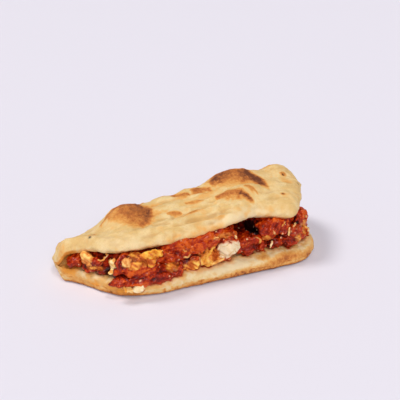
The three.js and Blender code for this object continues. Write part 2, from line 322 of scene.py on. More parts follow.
def bubble_rise(x, y, bubbles):
    total = np.zeros_like(x)
    for at_x, at_y, wide_x, wide_y, rise in bubbles:
        away = np.minimum(1, np.hypot((x - at_x) / wide_x, (y - at_y) / wide_y))
        total += rise * (1 - away**2) ** 2
    return total


def section_controls(x):
    """Control points (y, z) of the outside and the inside of the loaf's sections at every x."""
    front = bottom_front(x)
    rear = back(x)
    wide = rear - front
    lip = np.minimum(TOP_LEAF, 0.32 * wide)
    lip_front = front + np.clip(lip_setback(x), -0.1 * wide, 0.35 * wide)
    lip_mid = lip_height(x)
    crest = crest_height(x)
    floor = np.clip(lip_mid - 0.5 * TOP_LEAF + 2, 12, BOTTOM_LEAF)
    under_lip = np.maximum(lip_mid - 0.5 * TOP_LEAF, floor + 1)
    crease = 0.12 * wide
    slit = np.clip(slit_depth(x), crease, np.maximum(crease, wide - BACK_CRUST))
    openness = np.clip((slit - CLOSED_SLIT) / (OPEN_SLIT - CLOSED_SLIT), 0, 1)
    ceiling = np.maximum(under_lip, blend(floor + 2, crest - TOP_LEAF, openness))
    crest_y = np.clip(crest_place(x), front + 0.35 * wide, front + 0.75 * wide)
    edge = np.minimum(floor, 0.25 * wide)
    shoulder = shoulder_height(x)
    bulge = bulge_height(x)
    shoulder_y = rear - 0.15 * wide
    level = np.zeros_like(x)
    outside = [
        (front, 0.5 * floor),
        (front + 0.1 * edge, 0.14 * floor),
        (front + 0.45 * edge, level),
        (front + 0.45 * wide, level),
        (rear - 0.18 * wide, level),
        (rear - 0.05 * wide, 0.22 * bulge),
        (rear, bulge),
        (rear - 0.04 * wide, blend(bulge, shoulder, 0.55)),
        (shoulder_y, shoulder),
        (blend(shoulder_y, crest_y, 0.5), blend(shoulder, crest, 0.7)),
        (crest_y, crest),
        (blend(crest_y, lip_front + 0.8 * lip, 0.55), blend(crest, lip_mid + 0.45 * lip, 0.5)),
        (lip_front + 0.55 * lip, lip_mid + 0.4 * lip),
        (lip_front + 0.12 * lip, lip_mid + 0.2 * lip),
        (lip_front, lip_mid - 0.08 * lip),
    ]
    room = ceiling - floor
    under_lip_y = lip_front + np.minimum(0.7 * lip, 0.25 * slit)
    ceiling_y = front + 0.6 * slit
    inside = [
        (front, 0.5 * floor),
        (front + 0.03 * slit, 0.86 * floor),
        (front + 0.11 * slit, floor),
        (front + 0.42 * slit, floor),
        (front + 0.78 * slit, floor),
        (front + 0.95 * slit, floor + 0.15 * room),
        (front + slit, floor + 0.45 * room),
        (front + 0.96 * slit, floor + 0.72 * room),
        (front + 0.84 * slit, floor + 0.88 * room),
        (front + 0.72 * slit, floor + 0.96 * room),
        (ceiling_y, ceiling),
        (blend(ceiling_y, under_lip_y, 0.55), blend(ceiling, under_lip, 0.4)),
        (under_lip_y, under_lip),
        (lip_front + np.minimum(0.25 * lip, 0.1 * slit), under_lip + 0.14 * lip),
        (lip_front, lip_mid - 0.08 * lip),
    ]
    return as_controls(outside), as_controls(inside)


def as_controls(pairs):
    """From a list of (y, z) arrays to one array of sections, control points and coordinates."""
    return np.stack([np.stack(pair, axis=-1) for pair in pairs], axis=1)


TINY = 1e-4  # control points that are closer than this count as one


def through(controls, steps):
    """Points along a centripetal Catmull-Rom curve through each section's control points, and how many
    control points lie behind each. steps says into how many parts each segment is cut."""
    first = 2 * controls[:, :1] - controls[:, 1:2]
    last = 2 * controls[:, -1:] - controls[:, -2:-1]
    padded = np.concatenate([first, controls, last], axis=1)
    pieces = []
    progress = []
    for i, count in enumerate(steps):
        p0, p1, p2, p3 = (padded[:, i + j] for j in range(4))
        runs = np.stack([p1 - p0, p2 - p1, p3 - p2])
        gaps = np.sqrt(np.linalg.norm(runs, axis=-1, keepdims=True))
        d1 = np.maximum(gaps[1], TINY)
        d0 = np.where(gaps[0] < TINY, d1, gaps[0])
        d2 = np.where(gaps[2] < TINY, d1, gaps[2])
        t1 = ((p1 - p0) / d0 - (p2 - p0) / (d0 + d1) + (p2 - p1) / d1) * d1
        t2 = ((p2 - p1) / d1 - (p3 - p1) / (d1 + d2) + (p3 - p2) / d2) * d1
        for step in range(count):
            t = step / count
            pieces.append(
                p1 + t1 * t + (3 * (p2 - p1) - 2 * t1 - t2) * t**2 + (2 * (p1 - p2) + t1 + t2) * t**3
            )
            progress.append(i + t)
    pieces.append(controls[:, -1])
    progress.append(len(steps))
    return np.stack(pieces, axis=1), np.array(progress)


# Steps in each segment of a section: fine where the crust shows, coarse under the loaf and in the pocket.
OUTSIDE_STEPS = [7, 7, 8, 6, 5, 8, 10, 14, 26, 26, 26, 26, 12, 9]
INSIDE_STEPS = [9, 10, 30, 8, 3, 3, 3, 3, 3, 4, 8, 10, 7, 7]
ROUND = len(OUTSIDE_STEPS) + len(INSIDE_STEPS)
STATIONS = 300
CROWDED_ENDS = 0.45  # 0 spaces the stations evenly, 1 as on a circle


def loaf_stations():
    """Places along the loaf, closer together at its two ends."""
    even = np.linspace(0, 1, STATIONS)
    rounded = 0.5 - 0.5 * np.cos(np.pi * even)
    return blend(-HALF, HALF, blend(even, rounded, CROWDED_ENDS))


def loaf_grid():
    """Points (station, ring, xyz) of the plain loaf, and each ring point's progress: 0 to 14 along the
    outside from the bottom leaf's edge to the lip, and 14 to 28 back along the walls of the pocket."""
    x = loaf_stations()
    outside_controls, inside_controls = section_controls(x)
    outside, progress_out = through(outside_controls, OUTSIDE_STEPS)
    inside, progress_in = through(inside_controls, INSIDE_STEPS)
    grid_x = np.repeat(x[:, None], outside.shape[1], axis=1)
    outside[..., 1] = np.maximum(outside[..., 1], 0)
    raised = outside[..., 1] > shoulder_height(x)[:, None]
    outside[..., 1] += raised * bubble_rise(grid_x, outside[..., 0], BUBBLES)
    # Toward the open end the outside and the inside draw to their middle, matched by progress.
    partner = np.stack([inside[:, np.abs(progress_in - p).argmin()] for p in progress_out], axis=1)
    own = np.stack([outside[:, np.abs(progress_out - p).argmin()] for p in progress_in], axis=1)
    full = round_off(HALF - x, END_ROUNDING)[:, None, None]
    outside_drawn = blend((outside + partner) / 2, outside, full)
    inside_drawn = blend((inside + own) / 2, inside, full)
    ring = np.concatenate([outside_drawn, inside_drawn[:, -2:0:-1]], axis=1)
    progress = np.concatenate([progress_out, ROUND - progress_in[-2:0:-1]])
    tip = round_off(x + HALF, TIP_ROUNDING)[:, None]
    height = blend(TIP_HEIGHT, ring[..., 1], tip)
    grid = np.stack([np.repeat(x[:, None], ring.shape[1], axis=1), ring[..., 0], height], axis=-1)
    return grid, progress


def skin_faces(stations, around):
    """Quads of a tube of rings, and a flat seam that closes its first and last ring."""
    station, ring = np.meshgrid(np.arange(stations - 1), np.arange(around), indexing="ij")
    here = station * around + ring
    beside = station * around + (ring + 1) % around
    return np.stack([here, beside, beside + around, here + around], axis=-1).reshape(-1, 4)


# ---------- looks of the dough ----------
# Browned patches on the top leaf: place, half-widths, turn in degrees and depth of browning.
TOASTED = [
    ((-53, -4), (12, 14), -14, 0.5), ((-46, -8), (6, 9), -10, 0.3), ((-65, -7), (9, 5), -20, 0.18),
    ((-72, -2), (8, 4), 30, 0.2), ((-58, -18), (8, 4), -16, 0.14), ((-127, -4), (5, 6), 0, 0.12),
    ((56, 11), (21, 10), -22, 0.38), ((42, 13), (8, 8), 20, 0.22), ((70, 6), (10, 6), -30, 0.24),
    ((41, -24), (11, 5), 0, 0.06), ((-2, 5), (10, 2.4), 6, 0.22), ((-9, -27), (8, 1.8), 12, 0.26),
    ((111, -3), (5, 4), 0, 0.2), ((112, 8), (3, 2.4), 0, 0.5), ((92, -29), (2, 1.4), 0, 0.7),
    ((-98, -14), (3, 2), 20, 0.55), ((15, -41), (7, 1.8), -6, 0.24), ((104, 30), (9, 7), 20, 0.14),
    ((-30, 34), (13, 8), 8, 0.5), ((18, 40), (16, 7), -6, 0.56), ((84, 42), (14, 7), 10, 0.5),
    ((-88, 30), (10, 6), 20, 0.42), ((-34, -12), (7, 3), -10, 0.14), ((24, -2), (10, 3), 8, 0.14),
]
# Browned bands on the top leaf: (x, y, half-width) along each, and depth of browning.
BROWNED_BANDS = [
    ([(27, -12, 1.2), (33, -12, 2), (39, -13, 2.4), (46, -16, 2.6), (51, -20, 2.4), (55, -25, 2.2),
      (56, -28, 1.6)], 0.5),
    ([(50, -20, 1.4), (53, -24, 2), (55, -27, 1.6)], 0.44),
    ([(57, -13, 1), (62, -16, 1.6), (66, -21, 1)], 0.4),
    ([(34, 16, 2.2), (40, 20, 3), (47, 25, 3), (55, 24, 2.6), (66, 20, 2.6), (76, 19, 2.4)], 0.46),
    ([(74, 16, 3), (78, 10, 4), (80, 3, 4), (81, -3, 3), (81, -6, 1.8)], 0.9),
    ([(12, 13, 2), (20, 13, 2.6), (27, 8, 2)], 0.5),
    ([(-8, 16, 1.8), (-1, 13, 2.2), (5, 10, 1.4)], 0.46),
    ([(-3, -6, 0.7), (6, -8, 1.2), (14, -9, 0.7)], 0.36),
    ([(-26, -17, 0.6), (-20, -18.5, 1), (-13, -20, 0.6)], 0.4),
    ([(-8, -27, 0.4), (2, -24, 0.7), (14, -22, 0.4)], 0.24),
    ([(-86, 2, 1), (-78, 6, 1.6), (-66, 10, 2.2), (-56, 11, 2.8), (-46, 8, 2.6)], 0.46),
    ([(-39, 3, 2.4), (-41, -8, 2.8), (-45, -17, 2.2), (-53, -22, 1.6)], 0.4),
]
# Folds in the top leaf: (x, y, half-width) along each, and depth in millimetres.
FOLDS = [
    ([(-23, -21, 1.2), (-14, -20, 1.6), (-6, -20, 1.2)], 1.1),
    ([(-26, -35, 1.4), (-9, -33, 1.8), (6, -36, 1.2)], 1.0),
    ([(24, -29, 1), (30, -25, 1.4), (36, -21, 1)], 1.0),
    ([(0, -16, 1), (10, -18, 1.5), (23, -20, 1)], 1.0),
    ([(-44, -28, 1), (-34, -30, 1.6), (-24, -27, 1)], 0.8),
    ([(70, -32, 1), (82, -30, 1.6), (96, -34, 1)], 0.7),
]
# Small dark pits and specks on the top leaf: place and radius.
PITS = [
    ((-101.3, -18.9), 1.3), ((111.4, 6.8), 1.0), ((91.8, -28.6), 0.9), ((123.5, -4), 1.2),
    ((-98, -13), 0.7),
]
# Toasted patches on the bottom leaf: place, half-sizes, turn in degrees and depth of browning.
TOASTED_BELOW = [
    ((-122, -7, 12), (8, 7, 6), 0, 0.1), ((-112, -20, 6), (12, 7, 4), -40, 0.18),
    ((-92, -44, 7), (14, 6, 5), -42, 0.18), ((-76, -54, 5), (10, 5, 3.4), -20, 0.34),
    ((66, -60, 8), (11, 5, 3), 0, 0.3), ((84, -59.5, 10.5), (13, 5, 3.6), 0, 0.48),
    ((106, -56, 8), (10, 7, 3.6), 20, 0.34), ((36, -62, 5), (18, 4, 3), 0, 0.34),
    ((-10, -62, 4), (22, 4, 2.4), 0, 0.3), ((58, -56, 14), (5, 4, 1.6), 0, 0.34),
    ((118, -38, 10), (7, 10, 4), 40, 0.2), ((126, 14, 9), (5, 20, 4), 0, 0.5),
]
# Oil that ran down on the bottom leaf: place, half-sizes and turn in degrees.
OILY = [
    ((-82, -51, 8), (17, 8, 5), -30), ((-120, -9, 13), (8, 8, 4), -20), ((-104, -31, 9), (8, 6, 4), -45),
]
# The oily bread round the filling's left tip, darkened also as painted shade inside the pocket's tip, and
# the pale middle of the bottom leaf: place and half-sizes.
INNER_TIP_OIL_AND_SHADE = ((-122, -4, 26), (16, 14, 14))
PALE_BELOW = ((22, -57, 12.5), (30, 7, 4))
# Flour on the lip: place, half-sizes, turn, edge, how much the mottle moves its rim, and strength.
FLOURED_LIP = [
    ((-74, -40, 47), (26, 12, 6), 0, 0.8, 0.6, 0.35), ((42, -46, 54), (32, 9, 9), 0, 0.6, 0.4, 0.7),
]
# Stretches of progress round the section, each with its rise and its fall.
TOP_LEAF_LOOKS = ((6.8, 8.6), (13.6, 14.4))
TOP_LEAF_RELIEF = ((6.8, 8.6), (14.0, 15.0))
BACK_SIDE = ((4.5, 6.5), (9.0, 10.5))
OILY_RIM = ((12.6, 13.6), (14.6, 15.5))
SWOLLEN_RIM = ((12.8, 13.8), (14.6, 15.6))
SAGGING_LIP = ((11.0, 13.4), (15.5, 18.0))
# The rises of the inside and of its stains, and the fall of those on the bottom leaf's edge.
INSIDE = (13.8, 14.4)
STAINED_INSIDE = (14.2, 15.0)
STAINED_EDGE = (1.0, 2.0)


class Crust:
    """The looks of the dough, as shares at each of its points. filling finds the nearest filling."""

    def __init__(self, points, progress, relief, filling):
        self.points = points
        self.progress = progress
        self.relief = relief
        self.away = np.array([filling.find(point)[2] for point in points])
        self.mottle = rough(points, 9, 11, 3)
        self.broad = rough(points, 24, 13, 2)
        self.fine = rough(points, 2.4, 12, 2)
        self.wander = 0.3 * self.mottle + 0.2 * self.fine
        self.top = within(progress, *TOP_LEAF_LOOKS)
        self.back_side = within(progress, *BACK_SIDE)
        self.below = (1 - self.top) * (1 - self.back_side)
        self.inside = smooth(*INSIDE, progress)
        self.underside = 1 - smooth(0.2, 1.4, points[:, 2])
        # Oil and browning round the filling's left tip, partly painted shade inside the pocket's tip.
        self.inner_tip_oil_and_shade = self.inside * spot_mask(points, *INNER_TIP_OIL_AND_SHADE, 0, 0.5, 0.4 * self.mottle)
        self.pale_below = self.below * spot_mask(points, *PALE_BELOW, 0, 0.6, self.wander)

    def masks(self):
        return {
            # crease: painted shade, darker in the folds and low places of the crust's relief
            "crease": (1 - smooth(-1.3, 0.4, self.relief)) * (1 - self.underside),
            "toast": np.clip(self.toast(), 0, 1.3),
            "char": self.char(),
            "flour": np.clip(self.flour(), 0, 1),
            "oil": np.clip(self.oil(), 0, 1),
            "stain": np.clip(self.stain(), 0, 1),
        }

    def toast(self):
        """Browning: patches and bands on the top leaf, the back, and below where it met the oven floor,
        where it is also painted shade along the bottom edge.
        """
        x, _, z = self.points.T
        toast = 0.1 * smooth(-0.2, 0.9, self.mottle + 0.6 * self.broad)
        toast += self.top * spots(self.points, TOASTED, 1.0, self.wander)
        toast += self.top * bands(self.points, BROWNED_BANDS, 1.0, self.wander)
        toast += 0.42 * self.back_side * smooth(0.1, 1.5, self.mottle + 1.2 * self.broad)
        # Darker along the bottom edge: browning from the oven floor, and painted contact shade where the
        # loaf sits on the floor.
        floor_browning_and_shade = (1 - smooth(0.3, 5.0, z + 1.2 * self.mottle)) * (0.5 + 0.3 * smooth(-10, 70, x))
        freckles = smooth(0.0, 0.9, rough(self.points, 3.4, 16, 2) + 0.3 * self.mottle)
        freckles *= 0.18 + 0.22 * smooth(14, 6, z)
        toast += (1 - self.inside) * self.below * (floor_browning_and_shade + freckles)
        toast *= 1 - 0.6 * self.pale_below
        toast += 0.3 * self.underside * smooth(-0.3, 0.5, self.mottle + 0.5 * self.fine)
        toast += self.below * spots(self.points, TOASTED_BELOW, 1.0, 1.2 * self.wander)
        # Oil and browning inside the pocket's tip, partly painted shade.
        return toast + 0.45 * self.inner_tip_oil_and_shade

    def char(self):
        pits = [spot_mask(self.points, at, (radius, radius), 0, 0.4) for at, radius in PITS]
        return self.top * np.max(pits, axis=0)

    def flour(self):
        """Pale, floury dough: low on the outside, on the floor of the pocket and on the lip."""
        z = self.points[:, 2]
        low = self.below * (1 - self.inside) * smooth(3, 8, z) + self.inside * (1 - smooth(15, 22, z))
        flour = np.maximum(low * smooth(-0.35, 0.35, self.mottle + 0.5 * self.broad), self.pale_below)
        for *spot, wander, strength in FLOURED_LIP:
            flour = np.maximum(flour, strength * spot_mask(self.points, *spot, wander * self.mottle))
        return flour

    def oil(self):
        """Oil that the lip's lower rim took on, and so did the bread next to the filling and below it."""
        x = self.points[:, 0]
        rim = within(self.progress, *OILY_RIM) * within(x, (-78, -60), (60, 100))
        golden = 0.2 + 0.3 * within(x, (-48, -28), (0, 24))
        near = 1 - smooth(1.0, 7.0, self.away + 2.5 * self.mottle)
        oil = np.maximum(golden * rim * smooth(-0.5, 0.5, self.mottle), 0.55 * near * self.inside)
        runs = np.max([spot_mask(self.points, *spot, 0.5, 0.4 * self.mottle) for spot in OILY], axis=0)
        oil = np.maximum(oil, 0.95 * runs * smooth(-0.7, 0.3, self.mottle + 0.4 * self.fine))
        return np.maximum(oil, 0.7 * self.inner_tip_oil_and_shade)

    def stain(self):
        """Sauce on the bread next to the filling."""
        near = 1 - smooth(0.2, 2.4, self.away + 1.8 * rough(self.points, 5, 14, 2))
        edge = 1 - smooth(*STAINED_EDGE, self.progress)
        return near * np.maximum(smooth(*STAINED_INSIDE, self.progress), edge)


def dough_relief(points, progress):
    """How far the crust stands out from the plain loaf, in millimetres."""
    x, y, z = points.T
    top = within(progress, *TOP_LEAF_RELIEF)
    slab = (1 - top) * (1 - smooth(18, 24, z))
    height = 0.8 * rough(points, 26, 1, 2) + 0.4 * rough(points, 9, 2, 2) + 0.14 * rough(points, 3, 3, 2)
    # Fine wrinkles run along the middle of the loaf.
    wrinkled = spot_mask(points, (0, -18), (64, 30), 4, 0.5)
    drift = np.stack([x, y + 3 * bumps(points, 30, 6), z], axis=1)
    ridges = 1 - 2.6 * np.abs(bumps(drift, (34, 9, 16), 4))
    small_ridges = 1 - 2.4 * np.abs(bumps(drift, (13, 4, 8), 7))
    height += top * wrinkled * (2.0 * ridges + 0.8 * small_ridges)
    height += top * (1 - wrinkled) * (0.4 * small_ridges + 0.4 * ridges)
    # Small blisters.
    nearest, _, number = grains(points, 8.5, 8)
    blister = (number > 0.6) * np.maximum(0, 1 - (nearest / 0.42) ** 2)
    height += top * 0.55 * blister
    height += slab * (0.75 * rough(points, 11, 9, 3) + 0.25 * rough(points, 2.6, 10, 2))
    height -= top * bands(points, FOLDS, 0.9)
    # The lip's rim is a little swollen, unevenly.
    rim = within(progress, *SWOLLEN_RIM) * smooth(-118, -104, x)
    height += rim * (1.1 + 0.9 * rough(points, 8, 15, 2))
    rest = smooth(0, 3.5, z)
    return height * rest


# How far the lip sags onto the filling near the open end.
lip_sag = profile([(34, 0), (50, 1.8), (64, 3.8), (84, 4.4), (98, 3.2), (112, 0.8), (120, 0)])


def dough_piece(filling):
    grid, ring_progress = loaf_grid()
    stations, around = grid.shape[:2]
    points = grid.reshape(-1, 3)
    progress = np.tile(ring_progress, stations)
    faces = skin_faces(stations, around)
    normals = normals_of(points, faces)
    relief = dough_relief(points, progress)
    points = points + normals * relief[:, None]
    points[:, 2] -= within(progress, *SAGGING_LIP) * lip_sag(points[:, 0])
    points[:, 2] = np.maximum(points[:, 2], 0)
    piece = mesh_piece("dough_crust", points, faces, Crust(points, progress, relief, filling).masks())
    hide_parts("dough")
    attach(piece, "root")
    return piece


# ---------- materials ----------
class Nodes:
    """The node tree of a material or a world, with short ways to add nodes."""

    def __init__(self, owner, coordinates):
        owner.use_nodes = True
        self.tree = owner.node_tree
        self.place = self.tree.nodes.new("ShaderNodeTexCoord").outputs[coordinates]

    def add(self, kind, **inputs):
        node = self.tree.nodes.new(kind)
        self.set(node, **inputs)
        return node

    def set(self, node, **inputs):
        for name, value in inputs.items():
            self.feed(node.inputs[name.replace("_", " ")], value)

    def feed(self, socket, value):
        if isinstance(value, bpy.types.NodeSocket):
            self.tree.links.new(value, socket)
        else:
            socket.default_value = value


class Material(Nodes):
    """A node material on the Principled shader."""

    def __init__(self, name):
        self.material = bpy.data.materials.new(name)
        super().__init__(self.material, "Object")
        self.shader = self.tree.nodes["Principled BSDF"]

    def mask(self, name):
        node = self.tree.nodes.new("ShaderNodeAttribute")
        node.attribute_name = name
        return node.outputs["Fac"]

    def noise(self, size, detail=3.0, roughness=0.55):
        """Noise with bumps of a size in millimetres."""
        node = self.add("ShaderNodeTexNoise", Vector=self.place, Detail=detail, Roughness=roughness)
        node.inputs["Scale"].default_value = 1 / (size * MM)
        return node.outputs["Fac"]

    def math(self, operation, a, b=0.0, c=0.0):
        node = self.tree.nodes.new("ShaderNodeMath")
        node.operation = operation
        for socket, value in zip(node.inputs, (a, b, c)):
            self.feed(socket, value)
        return node.outputs["Value"]

    def step(self, value, low, high):
        """0 where the value is under low, 1 where it is over high."""
        node = self.add("ShaderNodeMapRange", Value=value, From_Min=low, From_Max=high)
        node.interpolation_type = "SMOOTHSTEP"
        return node.outputs["Result"]

    def ramp(self, value, stops):
        """A colour that follows a value through stops of (value, sRGB colour)."""
        node = self.add("ShaderNodeValToRGB", Fac=value)
        elements = node.color_ramp.elements
        while len(elements) < len(stops):
            elements.new(0.5)
        for element, (position, colour) in zip(elements, stops):
            element.position = position
            element.color = srgb(*colour)
        return node.outputs["Color"]

    def mix(self, share, a, b):
        node = self.tree.nodes.new("ShaderNodeMix")
        node.data_type = "RGBA"
        self.feed(node.inputs["Factor"], share)
        self.feed(node.inputs[6], a)
        self.feed(node.inputs[7], b)
        return node.outputs[2]

    def paint(self, colour, **layers):
        """A colour with sRGB colours laid over it, each where the mask of its name is."""
        for mask, layer in layers.items():
            colour = self.mix(self.mask(mask), colour, srgb(*layer))
        return colour

    def bump(self, height, distance, strength):
        """Relief from a height map, distance in millimetres."""
        node = self.add("ShaderNodeBump", Height=height, Distance=distance * MM, Strength=strength)
        self.tree.links.new(node.outputs["Normal"], self.shader.inputs["Normal"])


# Browning of the crust, from its first tinge to the darkest brown.
BROWNING = [
    (0.0, (228, 192, 126)), (0.14, (226, 172, 98)), (0.3, (212, 144, 70)), (0.5, (186, 110, 50)),
    (0.75, (146, 82, 40)), (1.0, (108, 58, 32)),
]


def dough_material():
    m = Material("baked_dough")
    speckle = m.noise(1.3, 4, 0.65)
    cloud = m.noise(13, 4, 0.6)
    # Browning comes out blotchy: each patch of it is cut up by noises of two sizes.
    blotches = m.math("MULTIPLY_ADD", m.noise(4.5, 3, 0.6), 1.3, 0.35)
    blotches = m.math("MULTIPLY", blotches, m.math("MULTIPLY_ADD", speckle, 1.2, 0.4))
    toast = m.math("MULTIPLY", m.mask("toast"), blotches)
    pale = m.mix(m.step(cloud, 0.36, 0.62), srgb(232, 204, 148), srgb(222, 185, 120))
    pale = m.mix(m.math("MULTIPLY", m.step(speckle, 0.5, 0.34), 0.4), pale, srgb(208, 164, 104))
    # Painted shade: the crust is darker in its creases and folds.
    pale = m.mix(m.math("MULTIPLY", m.mask("crease"), 0.65), pale, srgb(188, 138, 74))
    pale = m.paint(pale, flour=(234, 212, 168))
    colour = m.mix(m.step(toast, 0.0, 0.16), pale, m.ramp(toast, BROWNING))
    colour = m.paint(colour, char=(50, 30, 18), oil=(232, 154, 54), stain=(168, 48, 14))
    m.set(m.shader, Base_Color=colour, Roughness=0.75)
    m.set(m.shader, Subsurface_Weight=0.08, Subsurface_Radius=(1.0, 0.55, 0.25), Subsurface_Scale=0.0015)
    m.set(m.shader, Specular_IOR_Level=0.25)
    m.bump(m.math("ADD", m.noise(0.9, 4, 0.65), speckle), 0.55, 0.8)
    return m.material


# ---------- the filling ----------
# Further lumps on a piece of the filling: place and half-sizes.
LUMPS = {
    "chicken_tip": [((-117, -9, 22), (5, 5, 5))],
    "chicken_left": [
        ((-92, -30, 22), (7, 6, 7)), ((-104, -20, 21), (6, 6, 6)), ((-97, -27, 28), (6, 5, 5)),
    ],
    "chicken_front": [
        ((-78, -52, 24), (9, 8, 10)), ((-56, -52, 22), (10, 8, 9)), ((-66, -56, 18), (11, 6, 8)),
        ((-84, -45, 22), (6, 6, 7)), ((-49, -47, 31), (9, 7, 7)), ((-68, -50, 33), (9, 7, 7)),
    ],
    "chicken_low": [
        ((-71, -54.5, 16), (7, 5, 5)), ((-45, -57, 18), (8, 6, 6)), ((-32, -52, 19), (8, 6, 5)),
    ],
    "chicken_strip": [
        ((-40, -46, 31), (12, 8, 9)), ((-22, -45, 32), (8, 9, 9)), ((-6, -47, 37), (10, 8, 8)),
        ((10, -45, 38), (9, 8, 8)), ((25, -44, 41), (8, 7, 6)),
    ],
    "chicken_shred": [
        ((-14, -52, 21), (6, 5, 7)), ((-22, -50, 20), (5, 4, 5)), ((-27, -48, 22), (6, 6, 5)),
    ],
    "chicken_edge": [((0, -51, 22), (6, 5, 7)), ((7, -49, 20), (5, 5, 5))],
    "chicken_torn": [
        ((13, -50, 23), (6, 6, 7)), ((23, -50, 31), (10, 8.5, 10)), ((27, -49, 34), (7, 6, 6)),
    ],
    "chicken_middle": [((38, -42, 21), (7, 8, 6)), ((52, -44, 28), (8, 7, 7)), ((59, -43, 21), (8, 7, 6))],
    "chicken_right": [((66, -45, 34), (8, 7, 9)), ((84, -42, 34), (9, 8, 8)), ((75, -48, 42), (8, 5, 6))],
    "chicken_base": [
        ((84, -46, 26), (7, 6, 7)), ((98, -46, 29), (8, 6, 7)), ((110, -37, 24), (6, 7, 8)),
        ((90, -48, 20), (9, 5, 5)), ((74, -45, 20), (7, 6, 5)),
    ],
    "chicken_corner": [((111, -34, 36), (6, 6, 7)), ((104, -38, 34), (7, 6, 8))],
    "chicken_end": [((116, -17, 31), (6, 8, 6)), ((118, -2, 22), (7, 9, 7)), ((114, 2, 33), (6, 7, 5))],
    "chicken_rear": [((118, 28, 24), (6, 8, 7)), ((114, 12, 33), (6, 7, 5))],
    "cheese_left": [
        ((-104, -22, 25), (4, 4, 4)), ((-103, -25, 29), (4, 4, 4)), ((-108, -20, 33), (3, 4, 3)),
    ],
    "cheese_shred": [((-89, -43, 24), (3.4, 3.2, 3)), ((-86, -42.5, 31), (2.2, 2.8, 5))],
    "cheese_lump": [((-75, -53, 38), (3, 3, 3)), ((-80, -52, 32), (3, 3, 3))],
    "cheese_melt": [((-50, -52, 39), (6, 4, 3)), ((-66, -54, 37), (6, 4, 3)), ((-57, -56, 33), (5, 3, 4))],
    "cheese_drip": [((-83, -59, 16), (3, 3, 4)), ((-77, -60, 11), (3, 2, 3))],
    "cheese_blob": [((-68, -61.5, 14.5), (2.6, 2.4, 2.4)), ((-71, -62, 14.5), (4, 2.4, 2.4))],
}


LUMP_CORNERS = 20  # random corners of a lump
LUMP_SWELL = 1.14  # makes up for what its flat faces cut off
# Voxels that the solids are remeshed with: coarse in the bed, which hardly shows.
VOXEL = 0.62
BED_VOXEL = 1.1


def add_lump(shape, at, half, rng):
    """Adds an uneven lump about a place to a bmesh: the hull of random points on an ellipsoid."""
    lump = bmesh.new()
    for corner in rng.normal(size=(LUMP_CORNERS, 3)):
        place = np.array(at) + np.array(half) * LUMP_SWELL * corner / np.linalg.norm(corner)
        lump.verts.new(place * MM)
    hull = bmesh.ops.convex_hull(lump, input=lump.verts)
    loose = [item for item in hull["geom_interior"] if isinstance(item, bmesh.types.BMVert)]
    bmesh.ops.delete(lump, geom=loose, context="VERTS")
    copies = {vertex: shape.verts.new(vertex.co) for vertex in lump.verts}
    for face in lump.faces:
        shape.faces.new([copies[vertex] for vertex in face.verts])
    lump.free()


def remeshed(node):
    """Points in millimetres and quads of a CAD node's solid with its further lumps, finely remeshed."""
    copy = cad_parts[node].copy()
    copy.data = copy.data.copy()
    copy.parent = None
    bpy.context.scene.collection.objects.link(copy)
    shape = bmesh.new()
    shape.from_mesh(copy.data)
    rng = np.random.default_rng(len(node))
    for at, half in LUMPS.get(node, []):
        add_lump(shape, at, half, rng)
    shape.to_mesh(copy.data)
    shape.free()
    remesh = copy.modifiers.new("fine", "REMESH")
    remesh.mode = "VOXEL"
    remesh.voxel_size = MM * (BED_VOXEL if node == "filling_bed" else VOXEL)
    bpy.context.view_layer.update()
    fine = bpy.data.meshes.new_from_object(copy.evaluated_get(bpy.context.evaluated_depsgraph_get()))
    points = points_of(fine)
    faces = np.array([face for face in faces_of(fine) if len(face) == 4])
    bpy.data.objects.remove(copy)
    bpy.data.meshes.remove(fine)
    return points, faces


# Bare meat and melted cheese on the pieces of the filling: place, half-sizes and strength.
BARE_MEAT = [((23, -55, 28.5), (12, 10, 9), 1.0)]
MELTED = [
    ((-72.7, -58.6, 35), (7, 6, 3), 1), ((-36, -55, 24), (6, 6, 3.4), 1), ((-16, -55, 20), (8, 6, 5), 1),
    ((-1, -54, 24), (7, 6, 8), 1), ((11, -51, 23), (5, 6, 6), 1), ((17, -50, 42), (11, 5, 2.2), 0.3),
    ((-100, -30, 23), (8, 5, 1.6), 0.9), ((-58, -56, 40), (14, 6, 6), 0.8), ((7, -50, 29), (3, 6, 6), 1),
    ((-68, -50, 40), (6, 5, 3), 0.8), ((66, -47, 29.5), (5, 5, 2.4), 0.8), ((99, -52, 25), (3, 5, 4), 0.9),
    ((106, -44, 27), (4, 6, 6), 0.7), ((112, -40, 32), (3, 5, 4), 0.8), ((34, -42, 38), (5, 5, 3), 0.6),
]
# Painted light and painted shade on the filling, and a few changes of its own tone: place, half-sizes,
# turn and change of painted shade, where more is darker.
PAINTED_LIGHT_AND_SHADE = [
    ((6, -50, 40), (26, 10, 9), 0, -0.26), ((-26, -50, 34), (18, 10, 8), 0, -0.1),
    ((-90, -36, 25), (10, 12, 9), 0, 0.1), ((46, -50, 25), (12, 10, 8), 0, 0.16),
    ((112, -30, 38), (8, 12, 8), 0, -0.14), ((80, -45, 38), (16, 12, 8), 0, -0.08),
    ((-66, -58, 26), (14, 8, 9), 0, -0.1), ((-93, -30, 35), (9, 8, 3.5), 0, 0.5),
    ((-70, -62, 13), (9, 6, 6), 0, -0.6), ((46, -24, 36), (7, 12, 8), 0, 0.4),
    ((0, -55, 23), (10, 6, 7), 0, -0.25), ((-106, -25, 32), (6, 6, 6), 0, -0.25),
    ((-79, -60, 12), (6, 5, 8), 0, -0.4), ((108, -40, 28), (12, 12, 9), 0, -0.12),
]
# The hollow under the lip, painted dark as its shadow: place and half-sizes.
HOLLOW_SHADOW = ((55.5, -30, 34.5), (4.4, 17, 8.5))


